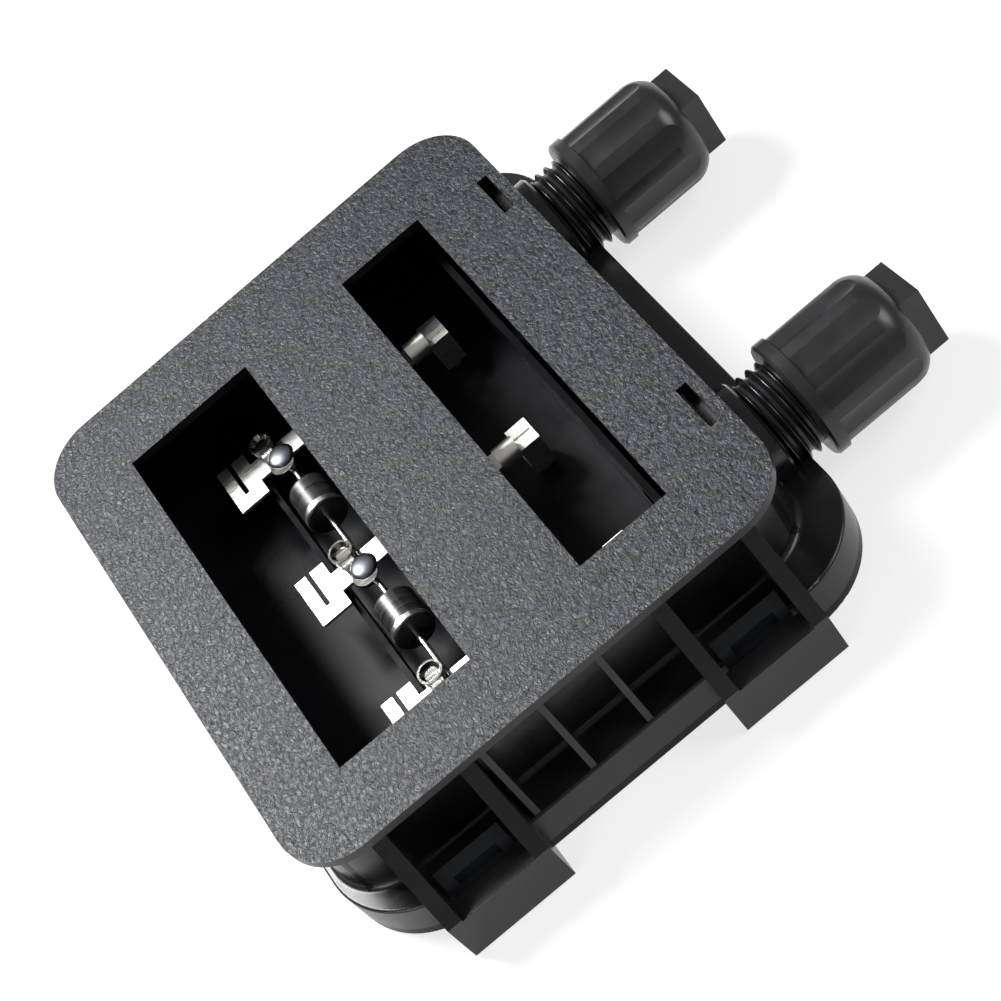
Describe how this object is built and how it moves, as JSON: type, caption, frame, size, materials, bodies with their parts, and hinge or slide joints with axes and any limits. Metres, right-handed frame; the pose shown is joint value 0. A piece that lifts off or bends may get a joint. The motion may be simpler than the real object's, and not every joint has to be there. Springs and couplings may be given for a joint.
{
  "type": "pv junction box",
  "caption": "Flat snap-lid junction box for a solar panel: bonding plate with two windows, strip terminals bridged by diodes, side glands for round cables.",
  "frame": {"origin": "under the middle of the box's bounding box, on the plane that the closed lid rests on", "axes": "+Z from the lid to the bonding face, +X out through the cable glands, the latches are on the two Y sides"},
  "size_m": [0.1496, 0.1546, 0.031],
  "materials": {
    "housing_plastic": "satin moulded, grained on the bonding face",
    "lid_plastic": "satin moulded",
    "nut_plastic": "semi-gloss moulded",
    "seal_rubber": "matt",
    "tinned_copper": "bright tin plate",
    "clip_metal": "dark bright plating",
    "clamp_metal": "tin plate",
    "screw_steel": "zinc plate",
    "diode_epoxy": "moulded epoxy",
    "lead_wire": "tinned wire"
  },
  "bodies": {
    "base": {"base_housing": "housing_plastic", "lid_gasket": "seal_rubber", "terminal_1": "tinned_copper", "terminal_2": "tinned_copper", "terminal_3": "tinned_copper", "diode_clip_1": "clip_metal", "diode_clip_2": "clip_metal", "diode_clip_3": "clip_metal", "cable_clamp_1": "clamp_metal", "cable_clamp_2": "clamp_metal", "cable_clamp_3": "clamp_metal", "diode_1_body": "diode_epoxy", "diode_1_leads": "lead_wire", "diode_2_body": "diode_epoxy", "diode_2_leads": "lead_wire", "gland_seal_1": "seal_rubber", "gland_seal_2": "seal_rubber"},
    "lid": {"lid": "lid_plastic"},
    "nut_1": {"gland_nut_1": "nut_plastic"},
    "nut_2": {"gland_nut_2": "nut_plastic"},
    "screw_1": {"clamp_screw_1": "screw_steel"},
    "screw_2": {"clamp_screw_2": "screw_steel"},
    "screw_3": {"clamp_screw_3": "screw_steel"}
  },
  "joints": [
    {"name": "lid_lift", "type": "slide", "parent": "base", "child": "lid", "axis": [0, 0, -1], "range_m": [0, 0.025]},
    {"name": "gland_nut_1_turn", "type": "hinge", "parent": "base", "child": "nut_1", "pos_m": [0.06, 0.0375, 0.014], "axis": [1, 0, 0], "continuous": true},
    {"name": "gland_nut_2_turn", "type": "hinge", "parent": "base", "child": "nut_2", "pos_m": [0.06, -0.0375, 0.014], "axis": [1, 0, 0], "continuous": true},
    {"name": "clamp_screw_1_turn", "type": "hinge", "parent": "base", "child": "screw_1", "pos_m": [0.005, 0.0374, 0.006], "axis": [0, 0, 1], "continuous": true},
    {"name": "clamp_screw_2_turn", "type": "hinge", "parent": "base", "child": "screw_2", "pos_m": [0.005, 0, 0.006], "axis": [0, 0, 1], "continuous": true},
    {"name": "clamp_screw_3_turn", "type": "hinge", "parent": "base", "child": "screw_3", "pos_m": [0.005, -0.0374, 0.006], "axis": [0, 0, 1], "continuous": true}
  ]
}
